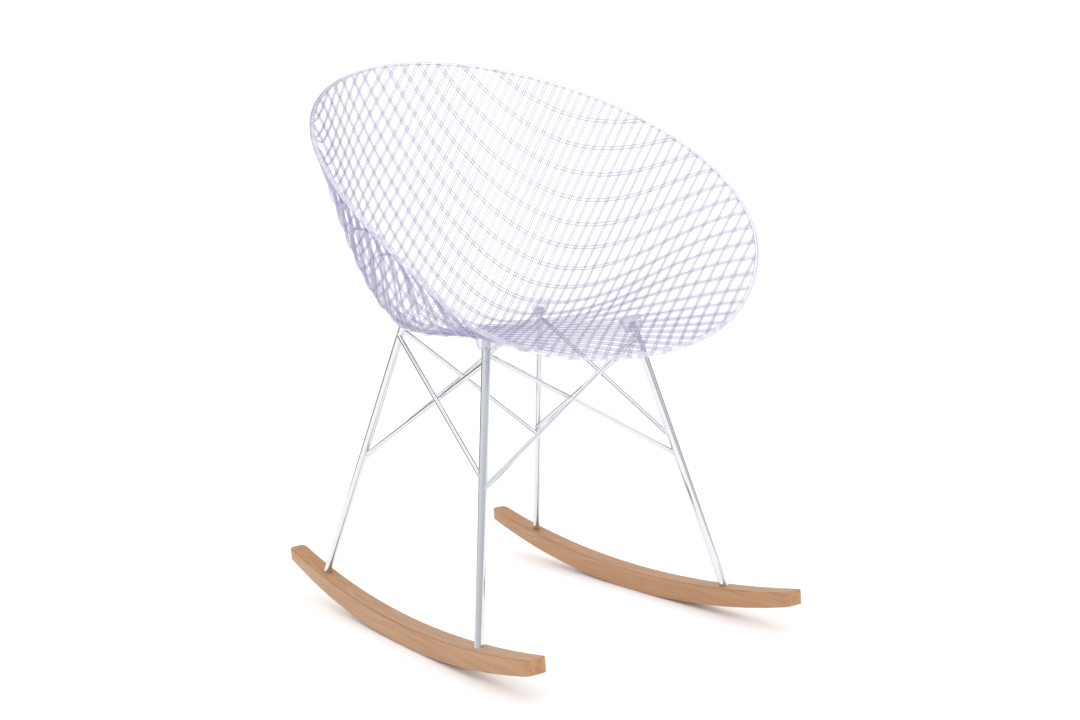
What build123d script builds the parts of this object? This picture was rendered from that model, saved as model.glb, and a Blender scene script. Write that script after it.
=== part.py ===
from build123d import *
from math import cos, pi, radians, sin, sqrt
import os

# A rocking chair: a clear moulded tub seat on four chromed steel legs, braced by crossed
# rods, standing on two curved beech rockers.
# Frame: millimetres, +Z up, the sitter faces -Y, origin on the floor under the chair's
# point of balance, midway between the rockers. "left" and "right" are the sitter's.

# ---- driving dimensions ----------------------------------------------------------------
ROCKER_SPACING = 354.0        # centre to centre
ROCKER_LENGTH = 731.0         # straight length, end to end
ROCKER_WIDTH = 26.0
ROCKER_BOTTOM_RADIUS = 1542.0
ROCKER_TOP_RADIUS = 2036.0
ROCKER_DEPTH = 28.5           # at the middle, tapering towards both ends
ROCKER_END_ROUND = 9.0        # corners of the ends, seen from above
ROCKER_EDGE_ROUND = 2.0
REST_LEAN = 1.38              # degrees that the balanced chair rolls from its rockers' middle

LEG_DIAMETER = 11.0
LEG_TOP_X = 106.0             # leg tops stand closer together than the rockers
FRONT_FOOT_Y = -230.0         # places along the chair are measured from the rockers' middle
REAR_FOOT_Y = 242.0
FRONT_TOP_Y = -175.0
REAR_TOP_Y = 55.0
FRONT_TOP_Z = 374.5
REAR_TOP_Z = 398.0
FOOT_INSERTION = 9.0          # leg end let into the rocker
TOP_INSERTION = {"front": 10.0, "rear": 3.5}    # leg end held in the seat socket
TAP_RADIUS = 3.0              # threaded hole in each leg end
TAP_DEPTH = 22.0

ROD_DIAMETER = 6.0
ROD_OFFSET = 3.1              # the two rods of a cross pass each side of their face
ROD_TOP_GAP = 5.0             # rod centre below the socket, along the leg
ROD_TOP_STEP = 9.0            # side rods start this much lower than front and rear rods
FRONT_NODE = 0.54             # height of the brace nodes as a share of the leg
REAR_NODE = 0.478
NODE_STEP = 14.0              # side rod node above front or rear rod node

SHELL_THICKNESS = 6.0
SEAT_Y = 66.6                 # deepest point of the bowl
SEAT_Z = 386.6
SEAT_FLATNESS = 4.2           # how long the bowl stays level before it turns up
WALL_CURVE = 1.33             # how the wall straightens towards the rim
SIDE_TUCK = -0.11             # the sides run in, and the back bulges out, between seat and rim
BACK_BULGE = 0.10
HUB_SHARE = 0.12              # the middle of the bowl, closed by a flat disc
HUB_OVERLAP = 0.05            # the disc's edge is buried in the wall by this share
HUB_INSET = 0.8
HUB_POINTS = 36
SHELL_SECTIONS = 14           # sections from the front edge round to the middle of the back
EXTRA_SECTIONS = 2
WALL_POINTS = 9

SOCKET_TOP_DIAMETER = 31.0
SOCKET_FOOT_DIAMETER = 21.0
SOCKET_HEIGHT = 20.0
SOCKET_REACH = 60.0           # rough length above the foot, trimmed by the shell
SOCKET_ROUND = 3.0
STUD_RADIUS = 2.9
STUD_LENGTH = 20.0
STUD_REACH = 1.5              # stud standing above the leg top
SCREW_RADIUS = 2.9
SCREW_HEAD_RADIUS = 5.5
SCREW_HEAD_HEIGHT = 3.3
SCREW_LENGTH = 30.0           # under the head
SCREW_DRIVE_RADIUS = 2.3      # hexagon socket
SCREW_DRIVE_DEPTH = 2.0
SCREW_SEAT_DEPTH = 20.0       # head's seat below the rocker's upper face
CLEARANCE = 0.2

FRONT, REAR = "front", "rear"
SIDES = {"left": 1, "right": -1}

os.makedirs("parts", exist_ok=True)


def at_rest(x, y, z):
    """A point given from the rockers' middle, rolled about their arc to the rest pose."""
    angle = radians(REST_LEAN)
    below = ROCKER_BOTTOM_RADIUS - z
    return Vector(x, y * cos(angle) + below * sin(angle),
                  ROCKER_BOTTOM_RADIUS - below * cos(angle) + y * sin(angle))


def turned(x, y, z):
    """A direction, rolled to the rest pose."""
    return at_rest(x, y, z) - at_rest(0, 0, 0)


def rocker_top(y):
    """Height of a rocker's upper face at a distance from its middle."""
    return ROCKER_DEPTH + ROCKER_TOP_RADIUS - sqrt(ROCKER_TOP_RADIUS ** 2 - y ** 2)


def rocker_bottom(y):
    return ROCKER_BOTTOM_RADIUS - sqrt(ROCKER_BOTTOM_RADIUS ** 2 - y ** 2)


# ---- legs: where each one starts and ends ----------------------------------------------
def leg_foot(end, side):
    y = FRONT_FOOT_Y if end == FRONT else REAR_FOOT_Y
    return at_rest(SIDES[side] * ROCKER_SPACING / 2, y, rocker_top(y))


def leg_top(end, side):
    x = SIDES[side] * LEG_TOP_X
    if end == FRONT:
        return at_rest(x, FRONT_TOP_Y, FRONT_TOP_Z)
    return at_rest(x, REAR_TOP_Y, REAR_TOP_Z)


def leg_direction(end, side):
    return (leg_top(end, side) - leg_foot(end, side)).normalized()


def leg_point(end, side, share, drop=0.0):
    """A point on a leg's axis, at a share of its height and a drop below that."""
    foot = leg_foot(end, side)
    along = (leg_top(end, side) - foot) * share
    return foot + along - leg_direction(end, side) * drop


def screw_seat(end, side):
    """Where a foot screw's head bears, on the leg's axis inside the rocker."""
    return leg_foot(end, side) - leg_direction(end, side) * SCREW_SEAT_DEPTH


FRAME_MIDDLE = at_rest(0, (FRONT_TOP_Y + REAR_TOP_Y) / 2, FRONT_TOP_Z)


# ---- seat shell: the rim is a smooth closed curve, and the bowl falls away from it -----
def rim(turn):
    """The rim from the front edge (0) round the sitter's left to the back (pi)."""
    x = 266.5 * sin(turn) - 37.3 * sin(2 * turn) + 27.6 * sin(3 * turn)
    y = -178.0 - 214.6 * cos(turn) + 82.0 * cos(2 * turn) - 29.0 * cos(3 * turn)
    z = 523.7 - 184.6 * cos(turn) + 37.6 * cos(2 * turn) - 13.3 * cos(3 * turn)
    return x, y, z


def wall(turn, share):
    """The bowl's outer face, from its deepest point (share 0) to the rim (share 1).

    Returns the distance out from the bowl's axis and the height above its deepest point.
    """
    x, y, z = rim(turn)
    swell = SIDE_TUCK * sin(turn) ** 2 + BACK_BULGE * ((1 - cos(turn)) / 2) ** 2
    spread = share + 4 * swell * share ** 2 * (1 - share ** 2)
    rise = 1 - (1 - share ** SEAT_FLATNESS) ** WALL_CURVE
    return spread * sqrt(x ** 2 + (y - SEAT_Y) ** 2), rise * (z - SEAT_Z)


def wall_inside(turn, share):
    """The bowl's inner face: the outer face moved in by the thickness."""
    step = 0.01
    low = wall(turn, max(share - step, 0.0))
    high = wall(turn, min(share + step, 1.0))
    run, rise = high[0] - low[0], high[1] - low[1]
    scale = SHELL_THICKNESS / sqrt(run ** 2 + rise ** 2)
    out, up = wall(turn, share)
    return out - rise * scale, up + run * scale


def section_plane(turn):
    """The upright plane through the bowl's axis and one point of the rim."""
    x, y, _ = rim(turn)
    outward = turned(x, y - SEAT_Y, 0).normalized()
    return Plane(origin=at_rest(0, SEAT_Y, SEAT_Z), x_dir=outward,
                 z_dir=outward.cross(turned(0, 0, 1)))


def hub_point(turn):
    """A point on the edge of the flat disc, in the plane across the bowl's axis."""
    x, y, _ = rim(turn)
    reach = wall(turn, HUB_SHARE + HUB_OVERLAP)[0] / sqrt(x ** 2 + (y - SEAT_Y) ** 2)
    return reach * x, reach * (y - SEAT_Y)


# The sections run a little past the middle at both ends, so that the half kept meets its
# mirror image smoothly. A disc closes the middle of the bowl.
with BuildPart() as seat_shell:
    for index in range(-EXTRA_SECTIONS, SHELL_SECTIONS + EXTRA_SECTIONS + 1):
        turn = pi * index / SHELL_SECTIONS
        shares = [HUB_SHARE + (1 - HUB_SHARE) * k / WALL_POINTS for k in range(WALL_POINTS + 1)]
        outer = [wall(turn, share) for share in shares]
        inner = [wall_inside(turn, share) for share in shares]
        with BuildSketch(section_plane(turn)):
            with BuildLine():
                Spline(*outer)
                Line(outer[-1], inner[-1])
                Spline(*inner)
                Line(inner[0], outer[0])
            make_face()
    loft()
    split(bisect_by=Plane.YZ, keep=Keep.TOP)
    mirror(about=Plane.YZ)
    hub = Plane(origin=at_rest(0, SEAT_Y, SEAT_Z + HUB_INSET), x_dir=(1, 0, 0), z_dir=turned(0, 0, 1))
    with BuildSketch(hub):
        with BuildLine():
            Spline(*[hub_point(2 * pi * k / HUB_POINTS) for k in range(HUB_POINTS)], periodic=True)
        make_face()
    extrude(amount=SHELL_THICKNESS - 2 * HUB_INSET)
seat_shell.part.label = "seat_shell"
export_step(seat_shell.part, "parts/seat_shell.step")


# ---- rockers: bent beech runners, deepest in the middle, with rounded ends -------------
def rocker_profile(y, height):
    """A point on a rocker's side face, in the sketch plane's own coordinates."""
    point = at_rest(0, y, height)
    return point.Y, point.Z


half_length = ROCKER_LENGTH / 2
for side, sign in SIDES.items():
    inner_face = sign * ROCKER_SPACING / 2 - ROCKER_WIDTH / 2
    with BuildPart() as rocker:
        with BuildSketch(Plane.YZ.offset(inner_face)):
            with BuildLine():
                bottom = ThreePointArc(
                    rocker_profile(-half_length, rocker_bottom(half_length)),
                    rocker_profile(0, 0),
                    rocker_profile(half_length, rocker_bottom(half_length)))
                top = ThreePointArc(
                    rocker_profile(-half_length, rocker_top(half_length)),
                    rocker_profile(0, ROCKER_DEPTH),
                    rocker_profile(half_length, rocker_top(half_length)))
                Line(bottom @ 0, top @ 0)
                Line(bottom @ 1, top @ 1)
            make_face()
        extrude(amount=ROCKER_WIDTH)
        upright = rocker.edges().filter_by(GeomType.LINE).filter_by(Axis.X, reverse=True)
        fillet(upright, ROCKER_END_ROUND)
        fillet(rocker.faces().sort_by(Axis.Z)[-1].edges(), ROCKER_EDGE_ROUND)
        for end in (FRONT, REAR):
            along = leg_direction(end, side)
            seat = screw_seat(end, side)
            with BuildSketch(Plane(origin=leg_foot(end, side) - along * FOOT_INSERTION, z_dir=along)):
                Circle(LEG_DIAMETER / 2 + CLEARANCE)
            extrude(amount=2 * LEG_DIAMETER, mode=Mode.SUBTRACT)
            with BuildSketch(Plane(origin=seat, z_dir=along)):
                Circle(SCREW_RADIUS + CLEARANCE)
            extrude(amount=SCREW_SEAT_DEPTH, mode=Mode.SUBTRACT)
            with BuildSketch(Plane(origin=seat, z_dir=along)):
                Circle(SCREW_HEAD_RADIUS + CLEARANCE)
            extrude(amount=-ROCKER_DEPTH, mode=Mode.SUBTRACT)
    rocker.part.label = f"rocker_{side}"
    export_step(rocker.part, f"parts/rocker_{side}.step")


# ---- legs: solid round bar, threaded at both ends --------------------------------------
legs = {}
for end in (FRONT, REAR):
    for side in SIDES:
        along = leg_direction(end, side)
        foot = leg_foot(end, side) - along * (FOOT_INSERTION - CLEARANCE)
        head = leg_top(end, side) + along * TOP_INSERTION[end]
        with BuildPart() as leg:
            with BuildSketch(Plane(origin=foot, z_dir=along)):
                Circle(LEG_DIAMETER / 2)
            extrude(amount=(head - foot).length)
            with BuildSketch(Plane(origin=foot, z_dir=along)):
                Circle(TAP_RADIUS)
            extrude(amount=TAP_DEPTH, mode=Mode.SUBTRACT)
            with BuildSketch(Plane(origin=head, z_dir=along)):
                Circle(TAP_RADIUS)
            extrude(amount=-TAP_DEPTH, mode=Mode.SUBTRACT)
        leg.part.label = f"leg_{end}_{side}"
        export_step(leg.part, f"parts/leg_{end}_{side}.step")
        legs[end, side] = leg.part


# ---- braces: two rods cross on each of the four sides, welded to the legs --------------
def brace_ends(start, finish):
    """A rod's line, from under the socket of one leg to the brace node of its neighbour."""
    is_side = start[1] == finish[1]
    drop = ROD_TOP_GAP + (ROD_TOP_STEP if is_side else 0.0)
    share = FRONT_NODE if finish[0] == FRONT else REAR_NODE
    step = NODE_STEP / 2 if is_side else -NODE_STEP / 2
    return leg_point(*start, 1.0, drop), leg_point(*finish, share, -step)


FACES = {
    "front": ((FRONT, "left"), (FRONT, "right")),
    "rear": ((REAR, "left"), (REAR, "right")),
    "left": ((FRONT, "left"), (REAR, "left")),
    "right": ((FRONT, "right"), (REAR, "right")),
}
for face, pair in FACES.items():
    lines = [brace_ends(*pair), brace_ends(*reversed(pair))]
    apart = (lines[0][1] - lines[0][0]).cross(lines[1][1] - lines[1][0]).normalized()
    if (apart.dot(lines[0][0] + lines[1][0] - 2 * FRAME_MIDDLE) < 0) != (face in SIDES):
        apart = -apart
    for (top, node), legs_joined, layer in zip(lines, (pair, pair[::-1]), (1, -1)):
        begin = top + apart * layer * ROD_OFFSET
        stop = node + apart * layer * ROD_OFFSET
        with BuildPart() as rod:
            with BuildSketch(Plane(origin=begin, z_dir=(stop - begin).normalized())):
                Circle(ROD_DIAMETER / 2)
            extrude(amount=(stop - begin).length)
            for leg_name in pair:
                add(legs[leg_name], mode=Mode.SUBTRACT)
        brace = rod.part.solids().sort_by(SortBy.VOLUME)[-1]
        origin = legs_joined[0][0] if face in SIDES else legs_joined[0][1]
        brace.label = f"brace_{face}_from_{origin}"
        export_step(brace, f"parts/{brace.label}.step")


# ---- sockets: clear cups under the seat that hold the leg tops -------------------------
for end in (FRONT, REAR):
    for side in SIDES:
        along = leg_direction(end, side)
        foot = leg_top(end, side)
        shoulder = Plane(origin=foot + along * SOCKET_HEIGHT, z_dir=along)
        with BuildPart() as socket:
            with BuildSketch(Plane(origin=foot, z_dir=along)):
                Circle(SOCKET_FOOT_DIAMETER / 2)
            with BuildSketch(shoulder):
                Circle(SOCKET_TOP_DIAMETER / 2)
            loft()
            fillet(socket.faces().sort_by(Axis.Z)[0].edges(), SOCKET_ROUND)
            with BuildSketch(shoulder):
                Circle(SOCKET_TOP_DIAMETER / 2)
            extrude(amount=SOCKET_REACH)
            add(seat_shell.part, mode=Mode.SUBTRACT)
            add(legs[end, side], mode=Mode.SUBTRACT)
            with BuildSketch(Plane(origin=foot, z_dir=along)):
                Circle(TAP_RADIUS)
            extrude(amount=TOP_INSERTION[end] + STUD_REACH, mode=Mode.SUBTRACT)
        cup = socket.part.solids().sort_by(Axis.Z)[0]
        cup.label = f"socket_{end}_{side}"
        export_step(cup, f"parts/socket_{end}_{side}.step")


# ---- fasteners: a threaded stud in each leg top, a countersunk screw in each leg foot --
with BuildPart() as leg_studs:
    for end in (FRONT, REAR):
        for side in SIDES:
            along = leg_direction(end, side)
            start = leg_top(end, side) + along * (TOP_INSERTION[end] + STUD_REACH - CLEARANCE)
            with BuildSketch(Plane(origin=start, z_dir=-along)):
                Circle(STUD_RADIUS)
            extrude(amount=STUD_LENGTH)
leg_studs.part.label = "leg_studs"
export_step(leg_studs.part, "parts/leg_studs.step")

with BuildPart() as foot_screws:
    for end in (FRONT, REAR):
        for side in SIDES:
            along = leg_direction(end, side)
            with BuildSketch(Plane(origin=screw_seat(end, side), z_dir=-along)):
                Circle(SCREW_HEAD_RADIUS)
            extrude(amount=SCREW_HEAD_HEIGHT)
            with BuildSketch(Plane(origin=screw_seat(end, side) - along * SCREW_HEAD_HEIGHT, z_dir=along)):
                RegularPolygon(SCREW_DRIVE_RADIUS, 6)
            extrude(amount=SCREW_DRIVE_DEPTH, mode=Mode.SUBTRACT)
            with BuildSketch(Plane(origin=screw_seat(end, side), z_dir=along)):
                Circle(SCREW_RADIUS)
            extrude(amount=SCREW_LENGTH)
foot_screws.part.label = "foot_screws"
export_step(foot_screws.part, "parts/foot_screws.step")
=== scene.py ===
from math import cos, sin, pi, radians, sqrt, floor

import bmesh
import bpy
from mathutils import Matrix, Vector


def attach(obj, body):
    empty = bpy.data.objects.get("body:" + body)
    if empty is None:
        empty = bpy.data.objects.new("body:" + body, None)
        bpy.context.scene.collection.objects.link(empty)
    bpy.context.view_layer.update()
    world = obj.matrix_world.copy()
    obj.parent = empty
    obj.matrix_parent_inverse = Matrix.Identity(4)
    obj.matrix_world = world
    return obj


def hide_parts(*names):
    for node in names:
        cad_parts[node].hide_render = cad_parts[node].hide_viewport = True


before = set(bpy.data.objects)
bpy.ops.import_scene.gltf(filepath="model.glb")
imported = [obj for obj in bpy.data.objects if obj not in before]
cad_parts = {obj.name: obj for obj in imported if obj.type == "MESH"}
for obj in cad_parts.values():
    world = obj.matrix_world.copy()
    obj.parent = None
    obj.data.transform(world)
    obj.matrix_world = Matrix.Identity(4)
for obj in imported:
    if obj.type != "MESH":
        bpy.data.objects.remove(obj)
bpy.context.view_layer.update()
scene = bpy.context.scene


# ---------------------------------------------------------------------------
# Studio: a pale sweep of matt paper in even white light. Mirror-like surfaces see
# a greyer horizon and two dark screens beside the line of sight, as steel needs.
# ---------------------------------------------------------------------------

CAMERA_PLACE = Vector((-0.8251, -1.5099, 0.4613))
CAMERA_YAW = -28.775            # degrees from +Y
CAMERA_PITCH = 4.059            # degrees down
CAMERA_ROLL = -5.391
CAMERA_LENS = 43.58             # mm on a 36 mm sensor
CAMERA_SHIFT = (0.0281, 0.0023)

PAPER_WHITE = "FDFDFE"


def colour(hex_code):
    """sRGB hex to the linear RGBA that shader sockets take."""
    values = [int(hex_code[i:i + 2], 16) / 255 for i in (0, 2, 4)]
    return [v / 12.92 if v <= 0.04045 else ((v + 0.055) / 1.055) ** 2.4 for v in values] + [1.0]


def add_node(tree, kind, settings=None, links=None):
    """Adds one node. settings are its properties or socket values, links its inputs."""
    node = tree.nodes.new(kind)
    for name, value in (settings or {}).items():
        if isinstance(name, int) or name in node.inputs:
            node.inputs[name].default_value = value
        else:
            setattr(node, name, value)
    for name, source in (links or {}).items():
        tree.links.new(source, node.inputs[name])
    return node


def new_material(name):
    """An empty node material, and its tree."""
    material = bpy.data.materials.new(name)
    material.use_nodes = True
    material.node_tree.nodes.clear()
    return material, material.node_tree


def finish_material(tree, shader, displacement=None):
    links = {"Surface": shader}
    if displacement:
        links["Displacement"] = displacement
    add_node(tree, "ShaderNodeOutputMaterial", {}, links)


camera_data = bpy.data.cameras.new("camera")
camera_data.sensor_width = 36
camera_data.lens = CAMERA_LENS
camera_data.shift_x, camera_data.shift_y = CAMERA_SHIFT
camera = bpy.data.objects.new("camera", camera_data)
scene.collection.objects.link(camera)
yaw, pitch = radians(CAMERA_YAW), radians(CAMERA_PITCH)
sight = Vector((-sin(yaw) * cos(pitch), cos(yaw) * cos(pitch), -sin(pitch)))
turned = sight.to_track_quat("-Z", "Y").to_matrix() @ Matrix.Rotation(radians(CAMERA_ROLL), 3, "Z")
camera.matrix_world = Matrix.Translation(CAMERA_PLACE) @ turned.to_4x4()
scene.camera = camera
scene.view_settings.view_transform = "Standard"

world = bpy.data.worlds.new("studio")
world.use_nodes = True
tree = world.node_tree
tree.nodes.clear()
direction = add_node(tree, "ShaderNodeTexCoord")
split = add_node(tree, "ShaderNodeSeparateXYZ", {}, {0: direction.outputs["Generated"]})
height = add_node(tree, "ShaderNodeMapRange", {"From Min": -0.2, "From Max": 0.9},
                  {"Value": split.outputs["Z"]})
sky = add_node(tree, "ShaderNodeValToRGB", {}, {"Fac": height.outputs["Result"]})
sky.color_ramp.elements[0].color = colour("E8E8EC")
sky.color_ramp.elements[1].color = colour("FFFFFF")
for place, tone in ((0.22, "CDCECF"), (0.40, "E6E7E8"), (0.62, "FFFFFF")):
    sky.color_ramp.elements.new(place).color = colour(tone)
level_sight = (-sin(yaw), cos(yaw), 0.0)
ahead = add_node(tree, "ShaderNodeVectorMath", {"operation": "DOT_PRODUCT", 1: level_sight},
                 {0: direction.outputs["Generated"]})
around = add_node(tree, "ShaderNodeMapRange", {"From Min": -1.0}, {"Value": ahead.outputs["Value"]})
flags = add_node(tree, "ShaderNodeValToRGB", {}, {"Fac": around.outputs["Result"]})
flags.color_ramp.elements[0].color = colour("DDDEE4")
flags.color_ramp.elements[1].color = colour("FFFFFF")
for place, tone in ((0.30, "F6F6F6"), (0.64, "FFFFFF"), (0.72, "4C4D50"), (0.92, "3A3B3D"),
                    (0.96, "FFFFFF")):
    flags.color_ramp.elements.new(place).color = colour(tone)
flagged = add_node(tree, "ShaderNodeMix", {"data_type": "RGBA", "blend_type": "MULTIPLY", 0: 1.0},
                   {6: sky.outputs["Color"], 7: flags.outputs["Color"]})
mirrored = add_node(tree, "ShaderNodeBackground", {"Strength": 1.2}, {"Color": flagged.outputs[2]})
plain = add_node(tree, "ShaderNodeBackground", {"Color": colour("FFFFFF"), "Strength": 1.14})
ray = add_node(tree, "ShaderNodeLightPath")
both = add_node(tree, "ShaderNodeMixShader", {},
                {0: ray.outputs["Is Glossy Ray"], 1: plain.outputs[0], 2: mirrored.outputs[0]})
add_node(tree, "ShaderNodeOutputWorld", {}, {"Surface": both.outputs[0]})
scene.world = world


LIT_PLACE = Vector((0, 0, 0.3))    # under the seat, where all lights point
PAPER_RADIUS = 30               # m


def soft_light(name, place, size, power):
    data = bpy.data.lights.new(name, "AREA")
    data.shape = "DISK"
    data.size = size
    data.energy = power
    lamp = bpy.data.objects.new(name, data)
    lamp.location = place
    lamp.rotation_euler = (LIT_PLACE - Vector(place)).to_track_quat("-Z", "Y").to_euler()
    scene.collection.objects.link(lamp)


soft_light("key", (-1.6, -1.8, 2.6), 1.6, 14)
soft_light("fill", (2.4, -0.6, 2.2), 2.0, 9)
soft_light("top", (0.2, 0.6, 3.0), 2.4, 12)


def mesh_piece(name, bm, material, smooth=True):
    """Turns a finished bmesh into a linked object."""
    mesh = bpy.data.meshes.new(name)
    bm.to_mesh(mesh)
    bm.free()
    for face in mesh.polygons:
        face.use_smooth = smooth
    mesh.materials.append(material)
    piece = bpy.data.objects.new(name, mesh)
    scene.collection.objects.link(piece)
    return piece


# Uncoated paper: matt and even, with a fibre too faint to notice.
paper, tree = new_material("matt paper sweep")
fibres = add_node(tree, "ShaderNodeTexNoise", {"Scale": 40.0, "Detail": 3.0})
tone = add_node(tree, "ShaderNodeMapRange", {"To Min": 0.97, "To Max": 1.0},
                {"Value": fibres.outputs["Fac"]})
shade = add_node(tree, "ShaderNodeMix", {"data_type": "RGBA", "blend_type": "MULTIPLY", 0: 1.0,
                                         6: colour(PAPER_WHITE)}, {7: tone.outputs["Result"]})
paint = add_node(tree, "ShaderNodeBsdfPrincipled", {"Roughness": 0.9, "Specular IOR Level": 0.1},
                 {"Base Color": shade.outputs[2]})
finish_material(tree, paint.outputs[0])
bm = bmesh.new()
bmesh.ops.create_circle(bm, cap_ends=True, segments=96, radius=PAPER_RADIUS)
floor_paper = mesh_piece("floor", bm, paper, smooth=False)


# ---------------------------------------------------------------------------
# Seat shell: one tub moulded in clear polycarbonate as an open lattice.
# Inner and outer diagonal bars rise to the sitter's left, a third set crosses
# between them, and a slim moulded edge ties all bar ends together.
# ---------------------------------------------------------------------------

MM = 0.001
REST_LEAN = radians(1.38)
ROLL_CENTRE = 1542              # mm above the floor: the rockers' bottom radius
SEAT_Y, SEAT_Z = 66.6, 386.6    # the bowl's axis
SEAT_FLATNESS = 4.2
WALL_CURVE = 1.33
SIDE_TUCK = -0.11
BACK_BULGE = 0.10

BAR_WIDTH = 4.0                 # mm, as are the sizes below
CROSS_WIDTH = 4.8
BAR_DEPTH = 3.4
BAR_ROUNDING = 0.6
BAR_CORNER = radians(50)        # sharper edges than this are rounded
SHORT_EDGE = 0.5                # shorter edges are merged
RIM_HALF_WIDTH, RIM_HALF_DEPTH = 1.9, 3.2
RIM_INSET = 3.0                 # the moulded edge's middle, inside the outer face
RIM_SQUARENESS = 0.7            # below 1 squares its section
LOW_SHARE, SHARE_SPAN, SHARE_CURVE = 0.03, 0.965, 0.8    # rows of the tub, closer to the rim
INNER_LAYER, CROSS_LAYER, OUTER_LAYER = 5.0, 3.2, 1.4     # mm inside the outer face
RISING_NORMAL = Vector((0.720, -0.508, -0.473)).normalized()
RISING_PITCH = 23.72            # between bars of one layer
RISING_FIRST = 14.2             # where a bar's middle plane lies
RISING_BOW = 11.2               # the bars bow by this much, BOW_REACH off the middle
BOW_REACH = 200
CROSS_NORMAL = Vector((-0.783, -0.380, -0.492)).normalized()
CROSS_PITCH = 22.9
CROSS_FIRST = -0.7
SIDE_START = -90                # the crossing bars turn over on the sitter's right side,
SIDE_REACH = 160
SIDE_TURN = 0.5
SIDE_CLOSE = 0.25               # where bars of all layers stand closer and run slimmer
SIDE_SLIM = 0.62
SIDE_HEIGHT = 450


def rim_point(turn):
    x = 266.5 * sin(turn) - 37.3 * sin(2 * turn) + 27.6 * sin(3 * turn)
    y = -178 - 214.6 * cos(turn) + 82 * cos(2 * turn) - 29 * cos(3 * turn)
    z = 523.7 - 184.6 * cos(turn) + 37.6 * cos(2 * turn) - 13.3 * cos(3 * turn)
    return x, y, z


def shell_point(turn, share):
    """Outer face of the tub, mm. turn 0 is the front edge, share 1 the rim."""
    x, y, z = rim_point(turn)
    swell = SIDE_TUCK * sin(turn) ** 2 + BACK_BULGE * ((1 - cos(turn)) / 2) ** 2
    spread = share + 4 * swell * share ** 2 * (1 - share ** 2)
    rise = 1 - (1 - min(share, 1) ** SEAT_FLATNESS) ** WALL_CURVE
    y = SEAT_Y + spread * (y - SEAT_Y)
    z = SEAT_Z + rise * (z - SEAT_Z)
    below = ROLL_CENTRE - z
    rolled_y = y * cos(REST_LEAN) + below * sin(REST_LEAN)
    rolled_z = ROLL_CENTRE - below * cos(REST_LEAN) + y * sin(REST_LEAN)
    return Vector((spread * x, rolled_y, rolled_z))


def shell_inward(turn, share):
    """Unit normal of the tub's face, towards the sitter."""
    step = 0.002
    low, high = max(share - step, 0.004), min(share + step, 1)
    along = shell_point(turn, high) - shell_point(turn, low)
    around = shell_point(turn + step, share) - shell_point(turn - step, share)
    return around.cross(along).normalized()


def layer_point(turn, share, depth):
    return shell_point(turn, share) + depth * shell_inward(turn, share)


def side_share(point):
    """Nothing up to SIDE_START, then growing towards the sitter's right edge."""
    return min(1, max(0, (SIDE_START - point.x) / SIDE_REACH)) ** 2


def inner_rising(point):
    """Counts the inner rising bars: a whole number on each bar's middle line."""
    bow = RISING_BOW * (point.x / BOW_REACH) ** 2
    close = SIDE_CLOSE * side_share(point) * (point.y + point.z - SIDE_HEIGHT)
    return (point.dot(RISING_NORMAL) - bow - close - RISING_FIRST) / RISING_PITCH


def outer_rising(point):
    return inner_rising(point) + 0.5


def crossing(point):
    side = side_share(point)
    turn_over = side * (SIDE_TURN * point.y - SIDE_CLOSE * (point.z - SIDE_HEIGHT))
    return (point.dot(CROSS_NORMAL) + turn_over - CROSS_FIRST) / CROSS_PITCH


def half_bar(count_bars, turn, share, depth, width):
    """Bar count at a point, and half a bar's width in the same measure."""
    step = 0.004
    here = layer_point(turn, share, depth)
    aside = layer_point(turn + step, share, depth)
    below = layer_point(turn, share - step, depth)
    count = count_bars(here)
    across, down = aside - here, below - here
    rise_across, rise_down = count_bars(aside) - count, count_bars(below) - count
    area = across.length_squared * down.length_squared - across.dot(down) ** 2
    slope = (rise_across ** 2 * down.length_squared - 2 * rise_across * rise_down * across.dot(down)
             + rise_down ** 2 * across.length_squared) / area
    return count, sqrt(slope) * width / 2 * (1 - SIDE_SLIM * side_share(here))


def lattice_bars(depth, count_bars, width, around=200, up=44):
    """Rolls the tub out flat, cuts both edges of every bar, and rolls the bars up again."""
    bm = bmesh.new()
    bmesh.ops.create_grid(bm, x_segments=around, y_segments=up, size=1)
    for vert in bm.verts:
        share = LOW_SHARE + SHARE_SPAN * ((vert.co.y + 1) / 2) ** SHARE_CURVE
        vert.co = (0, pi * (vert.co.x + 1), share)
    for side in (-1, 1):
        for vert in bm.verts:
            count, half = half_bar(count_bars, vert.co.y, vert.co.z, depth, width)
            vert.co.x = count + side * half
        reach = [vert.co.x for vert in bm.verts]
        for cut in range(floor(min(reach)), floor(max(reach)) + 2):
            bmesh.ops.bisect_plane(bm, geom=bm.verts[:] + bm.edges[:] + bm.faces[:], dist=1e-6,
                                   plane_co=(cut, 0, 0), plane_no=(1, 0, 0))
    spare = []
    for face in bm.faces:
        middle = face.calc_center_median()
        count, half = half_bar(count_bars, middle.y, middle.z, depth, width)
        if abs(count - round(count)) > half:
            spare.append(face)
    bmesh.ops.delete(bm, geom=spare, context="FACES")
    for vert in bm.verts:
        vert.co = layer_point(vert.co.y, vert.co.z, depth) * MM
    bmesh.ops.remove_doubles(bm, verts=bm.verts[:], dist=SHORT_EDGE * MM)
    return bm


# Clear polycarbonate, injection moulded: glossy and nearly colourless from the front.
# A denser lavender is painted where a rounded edge or a flank bends the light away: painted shade.
CLEAR_BODY = "F4F3FC"
# The three darker lavenders below are painted shade for faces turned away, bar flanks and rounded
# edges.
CLEAR_EDGE_SHADE = "9593B6"
CLEAR_FLANK_SHADE = "A3A0C2"
CLEAR_LINE_SHADE = "77749B"
FLOW_SIZE = 1000 / 60           # mm between ripples left by the melt's flow
FLOW_DEPTH = 0.4


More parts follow.
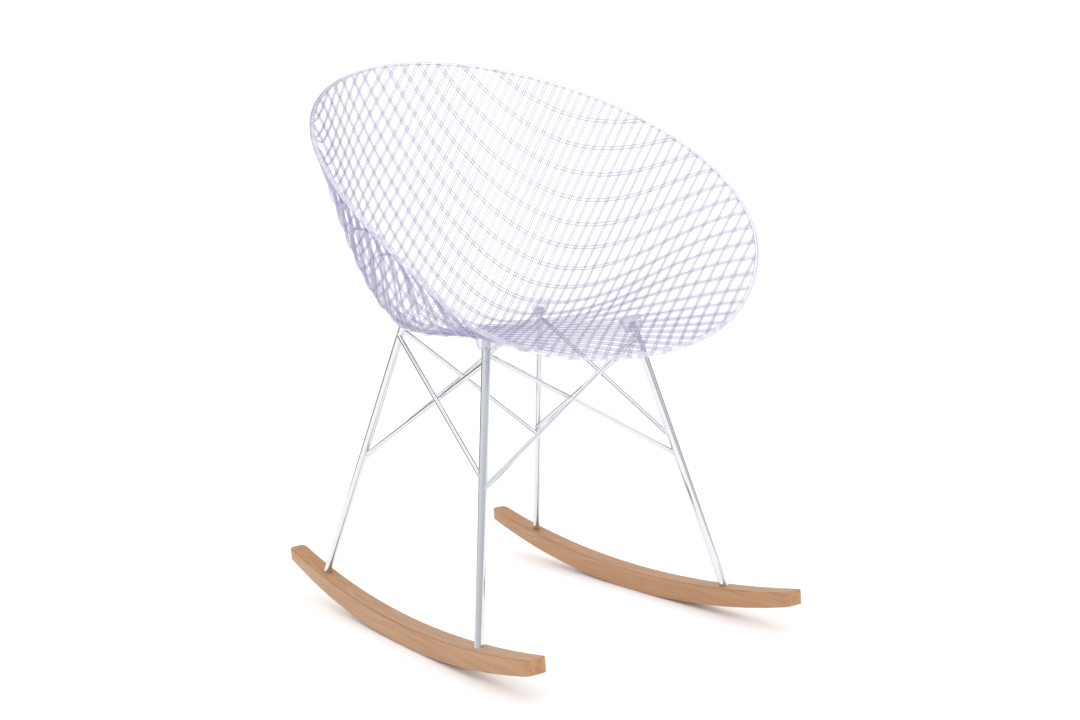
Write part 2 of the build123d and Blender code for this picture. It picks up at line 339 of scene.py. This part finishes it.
def clear_plastic(name, body, edge, thin, dense):
    """body to edge tint, and thin to dense cover, as the face turns away; edge tint and denser cover
    are painted shade.
    """
    material, tree = new_material(name)
    facing = add_node(tree, "ShaderNodeLayerWeight", {"Blend": 0.35})
    place = add_node(tree, "ShaderNodeTexCoord")
    flow = add_node(tree, "ShaderNodeTexNoise", {"Scale": 1 / (FLOW_SIZE * MM), "Detail": 2.0},
                    {"Vector": place.outputs["Object"]})
    cover = add_node(tree, "ShaderNodeMapRange",
                     {"From Min": 0.1, "From Max": 0.6, "To Min": thin, "To Max": dense},
                     {"Value": facing.outputs["Facing"]})
    tint = add_node(tree, "ShaderNodeMix", {"data_type": "RGBA", 6: colour(body), 7: colour(edge)},
                    {0: facing.outputs["Facing"]})
    ripple = add_node(tree, "ShaderNodeBump", {"Strength": 0.08, "Distance": FLOW_DEPTH * MM},
                      {"Height": flow.outputs["Fac"]})
    plastic = add_node(tree, "ShaderNodeBsdfPrincipled", {"Roughness": 0.08, "IOR": 1.58},
                       {"Base Color": tint.outputs[2], "Alpha": cover.outputs["Result"],
                        "Normal": ripple.outputs["Normal"]})
    finish_material(tree, plastic.outputs[0])
    return material


clear = clear_plastic("clear moulded polycarbonate", CLEAR_BODY, CLEAR_EDGE_SHADE, 0.12, 0.24)
# A darker copy for the bar flanks: painted shade.
flank = clear_plastic("clear polycarbonate flank, painted shade", CLEAR_EDGE_SHADE, CLEAR_FLANK_SHADE, 0.15, 0.24)
# A darker, denser copy for the rounded bar edges: painted shade.
rounding = clear_plastic("clear polycarbonate rounded edge, painted shade", CLEAR_FLANK_SHADE, CLEAR_LINE_SHADE, 0.62, 0.70)
# Rim and sockets: denser for the thicker plastic, darkening to painted shade where faces turn away.
dense = clear_plastic("clear polycarbonate thick section, painted edge shade", CLEAR_BODY, CLEAR_LINE_SHADE, 0.26, 0.80)


def solid_bars(name, bm, thickness):
    """Gives flat bars their depth and rounds their edges."""
    piece = mesh_piece(name, bm, clear)
    # The bar sides and rounded edges take the darker copies: painted shade.
    piece.data.materials.append(flank)
    piece.data.materials.append(rounding)
    wall = piece.modifiers.new("wall", "SOLIDIFY")
    wall.thickness = thickness * MM
    wall.offset = 0
    wall.use_even_offset = False
    wall.material_offset_rim = 1
    edge = piece.modifiers.new("edge", "BEVEL")
    edge.width = BAR_ROUNDING * MM
    edge.segments = 2
    edge.profile = 0.5
    edge.material = 2
    edge.use_clamp_overlap = False
    edge.limit_method = "ANGLE"
    edge.angle_limit = BAR_CORNER
    return piece


inner_bars = solid_bars("inner_rising_bars",
                        lattice_bars(INNER_LAYER, inner_rising, BAR_WIDTH), BAR_DEPTH)
outer_bars = solid_bars("outer_rising_bars",
                        lattice_bars(OUTER_LAYER, outer_rising, BAR_WIDTH), BAR_DEPTH)
cross_bars = solid_bars("crossing_bars",
                        lattice_bars(CROSS_LAYER, crossing, CROSS_WIDTH), BAR_DEPTH)


def rim_bead(half_width, half_depth, around=240, ring=12):
    """The moulded edge: a slim rounded band that follows the rim."""
    bm = bmesh.new()
    bmesh.ops.create_grid(bm, x_segments=around, y_segments=ring, size=1)
    for vert in bm.verts:
        turn = pi * (vert.co.x + 1)
        angle = pi * (vert.co.y + 1)
        point = shell_point(turn, 1.0)
        inward = shell_inward(turn, 0.995)
        along = (point - shell_point(turn, 0.97)).normalized()
        wide = half_width * (1 if cos(angle) > 0 else -1) * abs(cos(angle)) ** RIM_SQUARENESS
        deep = half_depth * (1 if sin(angle) > 0 else -1) * abs(sin(angle)) ** RIM_SQUARENESS
        vert.co = (point + along * (wide - half_width) + inward * (deep + RIM_INSET)) * MM
    bmesh.ops.remove_doubles(bm, verts=bm.verts[:], dist=1e-5)
    bmesh.ops.recalc_face_normals(bm, faces=bm.faces[:])
    return bm


# The rim takes the thick-section material with its painted edge shade.
rim = mesh_piece("moulded_edge", rim_bead(RIM_HALF_WIDTH, RIM_HALF_DEPTH), dense)
for piece in (inner_bars, outer_bars, cross_bars, rim):
    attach(piece, "root")
    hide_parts("seat_shell")


def dress(names, material):
    """Gives a CAD node a finished material."""
    for name in names:
        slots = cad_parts[name].data.materials
        slots.clear()
        slots.append(material)


SIDES = ("left", "right")
ENDS = ("front", "rear")
# The sockets take the thick-section material with its painted edge shade.
dress([f"socket_{end}_{side}" for end in ENDS for side in SIDES], dense)


# ---------------------------------------------------------------------------
# Legs and braces: straight round steel bar, with thinner rods crossed on each side
# and welded to the legs. The whole frame is polished and chromed.
# ---------------------------------------------------------------------------

HAZE_SIZE = 1000 / 90           # mm between places where the polish varies

# Chrome plate over polished steel: a pale mirror, very slightly uneven.
chrome, tree = new_material("polished chromed steel")
place = add_node(tree, "ShaderNodeTexCoord")
haze = add_node(tree, "ShaderNodeTexNoise", {"Scale": 1 / (HAZE_SIZE * MM), "Detail": 3.0},
                {"Vector": place.outputs["Object"]})
polish = add_node(tree, "ShaderNodeMapRange", {"To Min": 0.06, "To Max": 0.14},
                  {"Value": haze.outputs["Fac"]})
steel = add_node(tree, "ShaderNodeBsdfPrincipled", {"Base Color": colour("DCDFE1"), "Metallic": 1.0},
                 {"Roughness": polish.outputs["Result"]})
finish_material(tree, steel.outputs[0])
dress([f"leg_{end}_{side}" for end in ENDS for side in SIDES], chrome)
dress([f"brace_{end}_from_{side}" for end in ENDS for side in SIDES], chrome)
dress([f"brace_{side}_from_{end}" for end in ENDS for side in SIDES], chrome)


# ---------------------------------------------------------------------------
# Rockers: solid steamed beech, bandsawn to the curve, planed and clear lacquered.
# Each is let onto two leg ends and held by a screw from below at each.
# ---------------------------------------------------------------------------

GRAIN_SIZE = (1000 / 150, 200.0, 1000 / 150)    # mm across, along and down the rocker
GRAIN_FINENESS = 1.6
FLECK_SIZE = (1000 / 420, 1000 / 60, 1000 / 420)
PORE_DEPTH = 0.3

# Steamed beech under satin lacquer: warm tan, long soft streaks and short dark flecks,
# drawn coarser than real ones so that they show.
beech, tree = new_material("lacquered steamed beech")
place = add_node(tree, "ShaderNodeTexCoord")
along = add_node(tree, "ShaderNodeMapping", {"Scale": [1 / (size * MM) for size in GRAIN_SIZE]},
                 {"Vector": place.outputs["Object"]})
grain = add_node(tree, "ShaderNodeTexNoise", {"Scale": GRAIN_FINENESS, "Detail": 5.0, "Roughness": 0.6},
                 {"Vector": along.outputs[0]})
tone = add_node(tree, "ShaderNodeValToRGB", {}, {"Fac": grain.outputs["Fac"]})
tone.color_ramp.elements[0].position = 0.3
tone.color_ramp.elements[0].color = colour("9F7149")
tone.color_ramp.elements[1].position = 0.7
tone.color_ramp.elements[1].color = colour("B68A60")
flecks_place = add_node(tree, "ShaderNodeMapping", {"Scale": [1 / (size * MM) for size in FLECK_SIZE]},
                        {"Vector": place.outputs["Object"]})
flecks = add_node(tree, "ShaderNodeTexNoise", {"Scale": 1.0, "Detail": 2.0},
                  {"Vector": flecks_place.outputs[0]})
fleck_share = add_node(tree, "ShaderNodeMapRange",
                       {"From Min": 0.6, "From Max": 0.75, "To Min": 0.0, "To Max": 0.35},
                       {"Value": flecks.outputs["Fac"]})
wood_tone = add_node(tree, "ShaderNodeMix", {"data_type": "RGBA", 7: colour("9A6A48")},
                     {0: fleck_share.outputs["Result"], 6: tone.outputs["Color"]})
pores = add_node(tree, "ShaderNodeBump", {"Strength": 0.15, "Distance": PORE_DEPTH * MM},
                 {"Height": grain.outputs["Fac"]})
wood = add_node(tree, "ShaderNodeBsdfPrincipled",
                {"Roughness": 0.45, "Coat Weight": 0.15, "Coat Roughness": 0.25},
                {"Base Color": wood_tone.outputs[2], "Normal": pores.outputs["Normal"]})
finish_material(tree, wood.outputs[0])
dress([f"rocker_{side}" for side in SIDES], beech)


# ---------------------------------------------------------------------------
# Studs and screws: zinc plated steel. A stud joins each leg top to its socket, and
# a countersunk screw comes up through the rocker into each leg foot.
# ---------------------------------------------------------------------------

SPANGLE_SIZE = 1000 / 300       # mm between duller and brighter zinc

# Bright zinc plate: grey, half dull, faintly mottled.
zinc, tree = new_material("zinc plated steel")
place = add_node(tree, "ShaderNodeTexCoord")
spangle = add_node(tree, "ShaderNodeTexNoise", {"Scale": 1 / (SPANGLE_SIZE * MM), "Detail": 2.0},
                   {"Vector": place.outputs["Object"]})
dull = add_node(tree, "ShaderNodeMapRange", {"To Min": 0.25, "To Max": 0.45},
                {"Value": spangle.outputs["Fac"]})
plating = add_node(tree, "ShaderNodeBsdfPrincipled", {"Base Color": colour("B9BDC2"), "Metallic": 1.0},
                   {"Roughness": dull.outputs["Result"]})
finish_material(tree, plating.outputs[0])
dress(["leg_studs", "foot_screws"], zinc)
